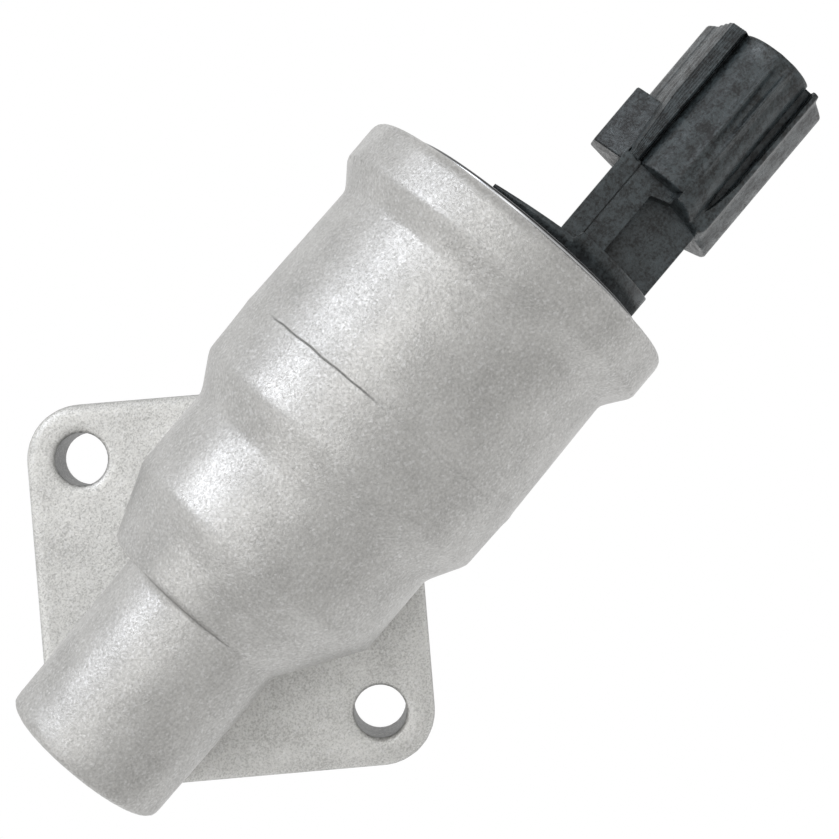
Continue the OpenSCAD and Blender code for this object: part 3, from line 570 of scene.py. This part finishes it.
def soft_skin(node, voxel, steps):
    """Points and faces of a remeshed and relaxed copy of a CAD node, in millimetres. Around the step from the
    nose to the shoulder the points move least, and around the folds of the two cones they move less, so that
    these stay crisp as on the real casting."""
    copy = bpy.data.objects.new("even_copy", frame["nodes"][node].data.copy())
    bpy.context.scene.collection.objects.link(copy)
    merge_close(copy, 1e-6)
    remesh = copy.modifiers.new("even_skin", "REMESH")
    remesh.mode = "VOXEL"
    remesh.voxel_size = voxel * MM
    graph = bpy.context.evaluated_depsgraph_get()
    even = bpy.data.meshes.new_from_object(copy.evaluated_get(graph))
    bpy.data.objects.remove(copy)
    points = np.empty(len(even.vertices) * 3, np.float32)
    even.vertices.foreach_get("co", points)
    pairs = np.empty(len(even.edges) * 2, np.int32)
    even.edges.foreach_get("vertices", pairs)
    quads = np.empty(len(even.polygons) * 4, np.int32)
    even.loops.foreach_get("vertex_index", quads)
    points = points.reshape(-1, 3).astype(float) / MM
    from_step = np.abs(points[:, 0] - CRISP_X)
    from_fold = np.abs(points[:, :1] - FOLDS_X).min(1)
    share = 0.5 * np.minimum(np.clip(from_step / 1.2, 0.15, 1.0), np.clip(from_fold, 0.45, 1.0))
    return relaxed(points, pairs.reshape(-1, 2), steps, share[:, None]), quads.reshape(-1, 4)


soft_points, soft_quads = soft_skin("valve_body", VOXEL, SMOOTHING_STEPS)
print("faces of the even skin", len(soft_quads))

# %% [markdown]
# ## What the cutters made
# After casting, cutters face the flange and bore the ports, their ring grooves and the bolt holes, and these
# surfaces are true. The even skin follows them only roughly, so its points near the mounting face, near the
# grooves' outer walls and near the bolt holes' walls are moved onto them. The narrow land between each port
# and its groove is hardly wider than one face of the skin, so it is a turned ring of its own.

# %% True the machined faces
INLET, OUTLET = (-9.4, 0.0), (10.2, 0.0)
# Centre and radius of each round wall that a cutter made, and the height up to which it is trued.
CUT_WALLS = (
    (INLET, 8.33, 2.6),
    (OUTLET, 9.33, 2.6),
    ((0.0, BOLT_Y), 3.4, 10.3),
    ((0.0, -BOLT_Y), 3.4, 10.3),
)
# Centre, inner and outer radius of the narrow land between each port and its ring groove.
LANDS = ((INLET, 5.5, 6.27), (OUTLET, 6.5, 7.27))
# How near a point must be to a cut wall, to its rim and to the mounting face to be moved onto it.
NEAR_WALL, NEAR_RIM, NEAR_FACE = 0.38, 0.34, 0.15
# How far around a land the skin is sunk, up to which height, how far it stays inside the ring, and how deep.
LAND_REACH, LAND_Z, LAND_INSIDE, LAND_SUNK = 0.3, 1.8, 0.1, 0.3


def machined(points):
    """Trues what a cutter made, in millimetres. Points near a groove's outer wall or a bolt hole's wall move
    straight towards or away from its axis onto it, and points near z = 0 move onto that. The lands are too
    narrow for the even skin, so it is sunk there, and a turned ring stands over it."""
    for middle, radius, top in CUT_WALLS:
        across = points[:, :2] - middle
        distance = np.linalg.norm(across, axis=1)
        near = (np.abs(distance - radius) < NEAR_WALL) & (points[:, 2] < top)
        points[near, :2] = middle + across[near] * (radius / distance[near])[:, None]
        points[near & (points[:, 2] < NEAR_RIM), 2] = 0.0
    points[np.abs(points[:, 2]) < NEAR_FACE, 2] = 0.0
    for middle, inner, outer in LANDS:
        across = points[:, :2] - middle
        distance = np.linalg.norm(across, axis=1)
        near = (distance > inner - LAND_REACH) & (distance < outer + LAND_REACH) & (points[:, 2] < LAND_Z)
        sunk = np.clip(distance[near], inner + LAND_INSIDE, outer - LAND_INSIDE)
        points[near, :2] = middle + across[near] * (sunk / distance[near])[:, None]
        points[near, 2] = np.maximum(points[near, 2], LAND_SUNK)
    return points


# Half the section of a land's ring: how far each point is from the port's wall, and its height.
LAND_SECTION = ((0.0, 2.2), (0.0, 0.14), (0.0, 0.06), (0.02, 0.02), (0.06, 0.0), (0.14, 0.0))


def land_ring(middle, inner, outer, around=120):
    """The land as a turned ring: each point (distance from the axis, height) of a section with broken edges is
    carried round the port's axis, and the section closes on itself."""
    section = [(inner + out, z) for out, z in LAND_SECTION]
    section += [(inner + outer - d, z) for d, z in section[::-1]]
    reach, height = np.array(section + section[:1]).T
    angle = np.linspace(0, 2 * np.pi, around, endpoint=False)
    x = middle[0] + reach[:, None] * np.cos(angle)
    y = middle[1] + reach[:, None] * np.sin(angle)
    points = np.stack([x, y, np.broadcast_to(height[:, None], x.shape)], -1).reshape(-1, 3)
    quads = skin_faces(len(section) + 1, around)
    return points, quads if signed_volume(points, quads) > 0 else quads[:, ::-1]


casting_skins = [(machined(soft_points), soft_quads)] + [land_ring(*land) for land in LANDS]
casting = make_piece("casting", *join_skins(casting_skins), "cast_aluminium", ["valve_body"])
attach(casting, "housing")

# %% [markdown]
# ## The connector's outline
# The connector is one moulding. Its shell has the same outline nearly all along: sloping shoulders, a rail with
# fine ribs beside a broad crown, two soft ridges along the crown, and a deep groove and a narrow ridge at its
# other side. The outline is a list of corners, each rounded by a small curve, and the crown is an arc with the
# ridges added on top.

# %% Outline of the shell


def round_corners(corners, reach, steps=4):
    """Replaces each corner by a short curve: it starts reach before the corner, ends as far after it, and its
    points are corner + (1-s)^2 * reach * (towards the last corner) + s^2 * reach * (towards the next)."""
    corners = np.asarray(corners, float)
    back = np.roll(corners, 1, 0) - corners
    ahead = np.roll(corners, -1, 0) - corners
    back_length = np.linalg.norm(back, axis=1)
    ahead_length = np.linalg.norm(ahead, axis=1)
    reach = np.minimum(np.asarray(reach, float), 0.45 * np.minimum(back_length, ahead_length))
    s = np.linspace(0, 1, steps)[None, :, None]
    start = (back / back_length[:, None] * reach[:, None])[:, None]
    end = (ahead / ahead_length[:, None] * reach[:, None])[:, None]
    return (corners[:, None] + (1 - s) ** 2 * start + s**2 * end).reshape(-1, 2)


CROWN_R, CROWN_H = 4.95, 5.4
HALF_LEFT, HALF_RIGHT = 9.0, -8.85
# How many corners the ribbed rail, the crown and the underside have.
RIB_CORNERS, TOP_CORNERS, LOW_CORNERS = 19, 44, 24


def crown(x, front):
    """Height of the crown at x: an arc about its centre, plus two soft ridges that fade towards both ends."""
    arc = CROWN_H + np.sqrt(np.maximum(CROWN_R**2 - x**2, 0))
    left, right = 0.2 - 0.3 * (1 - front), -1.9 + 0.3 * (1 - front)
    ridges = np.exp(-(((x - left) / 0.48) ** 2)) + 0.8 * np.exp(-(((x - right) / 0.4) ** 2))
    fade = np.clip(front * 1.8, 0, 1) * np.clip((1 - front) * 9, 0.1, 1)
    return arc - 0.4 * fade + 0.95 * ridges * fade


def shell_outline(front):
    """The shell's outline at a share of its length, 0 at the rear and 1 at the front. The ribbed rail spreads
    towards the front, and the deep groove closes to a point at the rear."""
    open_groove = np.clip((front - 0.12) / 0.22, 0.0, 1.0) ** 0.6
    spread = np.clip(front / 0.45, 0, 1)
    foot, side, top = (rear + (ahead - rear) * spread for rear, ahead in ((6.7, 8.1), (6.4, 7.5), (6.1, 6.95)))
    left = [(HALF_LEFT, -3.2), (HALF_LEFT, -1.1), (HALF_LEFT - 0.5, 0.2), (foot + 0.25, 0.7)]
    tooth = np.where(np.arange(RIB_CORNERS) % 2 == 0, 0.06, -0.06)
    ribs_x = np.linspace(foot, 5.2, RIB_CORNERS)
    ribs_h = np.interp(-ribs_x, [-foot, -side, -top, -5.2], [0.9, 4.5, 7.2, 7.9]) + tooth
    ribs_x = ribs_x + tooth * (ribs_x > top)
    slot = [(4.95, 7.7), (4.85, 6.2), (4.72, 6.2)]
    groove_right = -5.0 - 0.8 * open_groove
    floor_h = 6.98 - 2.7 * open_groove
    groove = [
        (-4.72, 7.0 - 0.5 * open_groove),
        (-4.8, floor_h),
        (groove_right + 0.1, floor_h - 0.03),
        (groove_right, 6.93 - 0.33 * open_groove),
        (groove_right - 0.2, 6.91 + 0.04 * open_groove),
    ]
    right = [(-6.5, 6.7), (-6.85, 3.9), (-8.0, 1.5), (HALF_RIGHT, -0.6), (HALF_RIGHT, -3.2)]
    right += [(-7.7, -5.2), (-6.9, -6.7)]
    top_x = np.linspace(4.64, -4.66, TOP_CORNERS)
    low_x = np.linspace(-4.85, 4.85, LOW_CORNERS)
    low = np.stack([low_x, -4.1 - np.sqrt(5.5**2 - low_x**2)], -1)
    before = np.array(left + list(zip(ribs_x, ribs_h)) + slot)
    end = np.array([(6.9, -6.7), (7.7, -5.2)])
    over = np.stack([top_x, crown(top_x, front)], -1)
    corners = np.concatenate([before, over, np.array(groove + right), low, end])
    reach = np.concatenate([
        [1.0, 1.0, 0.5, 0.15], np.full(RIB_CORNERS, 0.03), [0.12, 0.08, 0.08], np.full(TOP_CORNERS, 0.05),
        [0.1, 0.1, 0.1, 0.12, 0.15, 0.4, 0.5, 0.5, 0.9, 1.0, 0.4, 0.5], np.full(LOW_CORNERS, 0.1), [0.5, 0.4],
    ])
    return round_corners(corners, reach)


print("points around the shell", len(shell_outline(1.0)))

# %% [markdown]
# ## The shell with its socket
# The outline is carried from the rear to the front. Beside the neck's high half the rear end is a flat face.
# On the other side it starts further back, slopes forward as it rises, and is well rounded. At the front the
# skin turns over the rim, runs back inside as the socket's wall, which is a rounded rectangle, and closes
# over the socket's floor.

# %% Carry the outline along the shell
SHELL_X, SHELL_FRONT, SOCKET_X, SHELL_STEP = 68.9, 90.9, 71.5, 2.1
# Half the shell's width, roughly: to draw an outline in by one millimetre is to shrink it by 1 / SHELL_HALF.
SHELL_HALF = 7.5
# For each ring at the rear: how far ahead it lies, and how far it is drawn in on the flat and the soft side.
REAR_RINGS = (
    (0.0, 0.3, 1.1), (0.06, 0.1, 0.72), (0.2, 0.0, 0.42), (0.45, 0.0, 0.2), (0.8, 0.0, 0.06), (1.2, 0.0, 0.0),
)
# For each ring of the rim: how far behind the front it lies, and how far it is drawn in.
RIM_RINGS = ((0.2, 0.0), (0.06, 0.04), (0.0, 0.16))
# For each ring of the socket: its x, and how much wider than the socket's wall it is.
SOCKET_RINGS = (
    (SHELL_FRONT, 0.3), (SHELL_FRONT - 0.1, 0.08), (SHELL_FRONT - 0.35, 0.0),
    (SOCKET_X + 0.4, 0.0), (SOCKET_X, -0.4),
)


def at_plug(outline, x):
    """Places an outline (towards +Y, up) about the connector's centre line at x, which is one value or one for
    each point."""
    x = np.broadcast_to(x, len(outline))
    return np.stack([x, PLUG_Y + outline[:, 0], AXIS_H + outline[:, 1]], -1)


def smooth_step(value, low, high):
    """3t^2 - 2t^3, where t is the share of the way from low to high."""
    t = np.clip((value - low) / (high - low), 0, 1)
    return t * t * (3 - 2 * t)


def rear_of(outline):
    """Where the shell starts for each point: SHELL_STEP ahead of its rear on the high side, and on the other
    side at its rear and 0.22 mm further forward for each mm above 4.5."""
    slope = 0.22 * np.maximum(outline[:, 1] - 4.5, 0)
    high_side = smooth_step(outline[:, 0], -1.7, -1.1)
    return SHELL_X + np.where(high_side > 0.5, np.maximum(SHELL_STEP, slope), slope)


def socket_outline(angle, grow):
    """The socket's wall in the direction of an angle: |y/6.4|^8 + |h/5.2|^8 = 1, a rectangle with round
    corners. Both halves grow by the same amount."""
    power = 8.0
    across = np.abs(np.cos(angle) / (6.4 + grow)) ** power
    upwards = np.abs(np.sin(angle) / (5.2 + grow)) ** power
    reach = (across + upwards) ** (-1 / power)
    return np.stack([np.cos(angle) * reach, np.sin(angle) * reach], -1)


rear_outline = shell_outline(0.0)
soft_side = 1 - smooth_step(rear_outline[:, 0], -2.4, -1.0)
rings = []
for ahead, edge, soft in REAR_RINGS:
    inset = edge + (soft - edge) * soft_side * (rear_outline[:, 1] > 3)
    drawn = rear_outline * (1 - inset / SHELL_HALF)[:, None]
    rings.append(at_plug(drawn, rear_of(rear_outline) + ahead))
for share in np.linspace(0.075, 0.975, 30):
    outline = shell_outline(share)
    start = rear_of(outline)
    rings.append(at_plug(outline, start + share * (SHELL_FRONT - start)))
front_outline = shell_outline(1.0)
for back, inset in RIM_RINGS:
    rings.append(at_plug(front_outline * (1 - inset / SHELL_HALF), SHELL_FRONT - back))
angle = np.unwrap(np.arctan2(front_outline[:, 1], front_outline[:, 0]))
angle = np.maximum.accumulate(angle) if angle[-1] > angle[0] else np.minimum.accumulate(angle)
for x, grow in SOCKET_RINGS:
    rings.append(at_plug(socket_outline(angle, grow), x))
shell_skin = closed_skin(np.array(rings))
print("shell rings", len(rings))

# %% [markdown]
# ## The neck, the pad and the latch ramp
# Behind the shell the moulding is a high bar beside a lower one. A fine groove splits the high bar's top into
# two, so these two halves are blocks of their own on a common core, and the right one widens into a ledge
# where it meets the shell. At the end plate the neck spreads into a thin round pad. The ramp at the side is
# what the harness plug latches over. Each block is an outline carried in one direction with its two ends
# drawn in, so that no edge is sharp.

# %% Blocks with soft edges


def soft_block(corners, low, high, direction, edge=0.3, middle=None):
    """A skin through one outline of corners, carried from low to high along x (corners are y, z) or along z
    (corners are x, y). Corners are rounded, both ends are drawn in along a quarter of a circle, and each end
    closes at the middle, a point that sees every corner."""
    outline = round_corners(corners, np.full(len(corners), edge))
    middle = outline.mean(0) if middle is None else np.array(middle)
    half = np.abs(outline - middle).max()
    turn = np.linspace(0, np.pi / 2, 4)
    steps = [(low, half)] + [(low + edge * (1 - np.sin(t)), edge * (1 - np.cos(t))) for t in turn[::-1]]
    steps += [(high - edge * (1 - np.sin(t)), edge * (1 - np.cos(t))) for t in turn] + [(high, half)]
    rings = []
    for place, inset in steps:
        drawn = middle + (outline - middle) * (1 - inset / half)
        column = np.full(len(drawn), place)
        rings.append(np.column_stack([column, drawn] if direction == "x" else [drawn, column]))
    return closed_skin(np.array(rings))


PLATE_X = 56.5
NECK_X = PLATE_X + 0.3
NECK_LEFT, NECK_STEP, NECK_RIGHT = -2.6, -8.2, -15.5
SEAM, SEAM_HALF = NECK_LEFT - 2.4, 0.08
LEDGE_X = SHELL_X + SHELL_STEP + 0.25
BAR_TOP = AXIS_H + 7.5
left_bar = [(NECK_X, NECK_LEFT), (LEDGE_X, NECK_LEFT), (LEDGE_X, SEAM + SEAM_HALF), (NECK_X, SEAM + SEAM_HALF)]
right_bar = [(NECK_X, SEAM - SEAM_HALF), (LEDGE_X, SEAM - SEAM_HALF), (LEDGE_X, -10.8), (69.7, -10.7)]
right_bar += [(68.9, NECK_STEP), (NECK_X, NECK_STEP)]
core = [(NECK_LEFT - 0.02, AXIS_H - 7.5), (NECK_LEFT - 0.02, AXIS_H + 7.1)]
core += [(NECK_STEP + 0.02, AXIS_H + 7.1), (NECK_STEP + 0.02, AXIS_H - 7.5)]
low_bar = [(NECK_LEFT - 0.3, AXIS_H - 4.5), (NECK_LEFT - 0.3, AXIS_H + 4.5)]
low_bar += [(NECK_RIGHT, AXIS_H + 4.5), (NECK_RIGHT, AXIS_H - 4.5)]
ramp = [(-2.9, AXIS_H - 4.6), (1.25, AXIS_H - 2.2), (1.25, AXIS_H + 2.2), (-2.9, AXIS_H + 4.6)]
blocks = [
    soft_block(core, NECK_X, LEDGE_X, "x", 0.2),
    soft_block(left_bar, AXIS_H + 2.0, BAR_TOP, "z", 0.15),
    soft_block(right_bar, AXIS_H + 2.0, BAR_TOP, "z", 0.15, (70.1, -7.5)),
    soft_block(low_bar, NECK_X, 71.2, "x", 0.35),
    soft_block(ramp, 70.6, 78.9, "x", 0.3),
]
print("blocks", len(blocks))

# %% [markdown]
# ## The pad
# The pad is a slice of a cylinder that is cut flat at both sides and thins to a feather edge past the valve's
# axis. Its outline is an arc above and below, and its front face is as thick as the place across asks. Smooth
# shading would let the rounded edges shade the flat faces beside them, so a Weighted Normal modifier gives
# each corner the direction of its largest face.

# %% Pad
# For each ring: the share of the pad's thickness at which it lies, and the share of its outline that it keeps.
PAD_RINGS = ((0.0, 1.0), (0.9, 1.0), (0.97, 0.997), (1.0, 0.99), (1.0, 0.8), (1.0, 0.5), (1.0, 0.25))


def pad_thickness(y):
    """Thickness of the pad across: a thin wedge past the axis, a step beside the neck, and then even."""
    return np.interp(-y, [-6.3, 2.7, 4.5, 4.75, 15.9], [0.5, 1.45, 1.5, 2.75, 2.8])


def pad_skin():
    """Rings of an outline whose y runs from one flat to the other, and whose half height is sqrt(r^2 - y^2).
    The back ring lies on the end plate, and the front ones stand off it by the pad's thickness at their y."""
    radius = 17.4
    y = np.linspace(6.3, -15.65, 90)
    half = np.sqrt(radius**2 - y**2)
    outline = np.concatenate([np.stack([y, half], -1), np.stack([y, -half], -1)[::-1]])
    middle = np.array([-4.8, 0.0])
    rings = []
    for share, keep in PAD_RINGS:
        y, rise = (middle + (outline - middle) * keep).T
        rings.append(np.column_stack([PLATE_X + pad_thickness(y) * share, y, AXIS_H + rise]))
    return closed_skin(np.array(rings))


moulding_skins = [shell_skin, *blocks, pad_skin()]
moulding = make_piece("plug_moulding", *join_skins(moulding_skins), "black_plastic", ["connector"])
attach(moulding, "housing")
flat_sides = moulding.modifiers.new("flat_sides", "WEIGHTED_NORMAL")
flat_sides.mode = "FACE_AREA"
flat_sides.weight = 50

# %% [markdown]
# ## The springs
# Each spring is a round wire bent into a helix with its two end turns laid flat. The CAD keeps them coarse,
# so they are drawn again as a tube: a circle carried along the helix, turned to stand square to it.

# %% Wind the springs
RINGS_PER_TURN, WIRE_SIDES = 40, 14
# The rise of a closed end turn, in widths of the wire.
END_RISE = 1.04


def wound_wire(start_x, length, turns, wire, mean_r):
    """Rings of a tube along a helix about the valve axis. The angle grows evenly, and the rise is about one
    wire per turn in the first and last turn and even between them."""
    turn = np.linspace(0, turns, int(turns * RINGS_PER_TURN) + 1)
    flat = np.minimum(turn, 1) + np.maximum(turn - (turns - 1), 0)
    risen = np.maximum(np.minimum(turn, turns - 1) - 1, 0)
    step = (length - wire - 2 * wire * END_RISE) / (turns - 2)
    along = wire / 2 + flat * wire * END_RISE + risen * step
    angle = 2 * np.pi * turn
    out = np.stack([np.zeros_like(angle), np.cos(angle), np.sin(angle)], -1)
    centre = out * mean_r + np.stack([start_x + along, np.zeros_like(along), np.full_like(along, AXIS_H)], -1)
    round_angle = np.linspace(0, 2 * np.pi, WIRE_SIDES, endpoint=False)
    ring = out[:, None] * np.cos(round_angle)[None, :, None] * wire / 2
    ring = ring + np.array([1.0, 0, 0]) * np.sin(round_angle)[None, :, None] * wire / 2
    return centre[:, None] + ring


return_low, return_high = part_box("return_spring")
balance_low, balance_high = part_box("balance_spring")
return_start, return_end = return_low.x / MM, return_high.x / MM
balance_start, balance_end = balance_low.x / MM, balance_high.x / MM
return_coil = wound_wire(return_start, return_end - return_start, 9, 0.5, 2.6)
balance_coil = wound_wire(balance_start, balance_end - balance_start, 7, 0.6, 4.2)
return_piece = make_piece("return_coil", *closed_skin(return_coil), "spring_steel", ["return_spring"])
balance_piece = make_piece("balance_coil", *closed_skin(balance_coil), "spring_steel", ["balance_spring"])
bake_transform(return_piece)
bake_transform(balance_piece)
print("springs", round(return_end - return_start, 2), round(balance_end - balance_start, 2))

# %% [markdown]
# ## The floor
# The valve stands on its mounting face, on a plain white floor. The photograph was cut out on pure white, so
# what the camera and the reflections see of the floor is its own even white, without a shadow. For all other
# light it is a matt pale surface. It can't be seen from below, so that the ports show there.

# %% Lay the floor
FLOOR_HALF = 3.0
FLOOR_Z = -0.0002
floor_mesh = bpy.data.meshes.new("floor")
corners = [(x * FLOOR_HALF, y * FLOOR_HALF, 0) for x, y in ((-1, -1), (1, -1), (1, 1), (-1, 1))]
floor_mesh.from_pydata(corners, [], [(0, 1, 2, 3)])
floor = bpy.data.objects.new("floor", floor_mesh)
floor.location.z = FLOOR_Z
bpy.context.scene.collection.objects.link(floor)
white = bpy.data.materials.new("white_floor")
white.use_nodes = True
tree = white.node_tree
tree.nodes.clear()
path = tree.nodes.new("ShaderNodeLightPath")
seen = tree.nodes.new("ShaderNodeMath")
seen.operation = "MAXIMUM"
matt = tree.nodes.new("ShaderNodeBsdfDiffuse")
matt.inputs["Color"].default_value = (0.82, 0.82, 0.82, 1)
glow = tree.nodes.new("ShaderNodeEmission")
glow.inputs["Color"].default_value = (1, 1, 1, 1)
glow.inputs["Strength"].default_value = 1.0
paint = tree.nodes.new("ShaderNodeMixShader")
side = tree.nodes.new("ShaderNodeNewGeometry")
clear = tree.nodes.new("ShaderNodeBsdfTransparent")
both = tree.nodes.new("ShaderNodeMixShader")
result = tree.nodes.new("ShaderNodeOutputMaterial")
tree.links.new(path.outputs["Is Camera Ray"], seen.inputs[0])
tree.links.new(path.outputs["Is Glossy Ray"], seen.inputs[1])
tree.links.new(seen.outputs[0], paint.inputs["Fac"])
tree.links.new(matt.outputs[0], paint.inputs[1])
tree.links.new(glow.outputs[0], paint.inputs[2])
tree.links.new(side.outputs["Backfacing"], both.inputs["Fac"])
tree.links.new(paint.outputs[0], both.inputs[1])
tree.links.new(clear.outputs[0], both.inputs[2])
tree.links.new(both.outputs[0], result.inputs["Surface"])
floor_mesh.materials.append(white)
print("floor laid")

# %% [markdown]
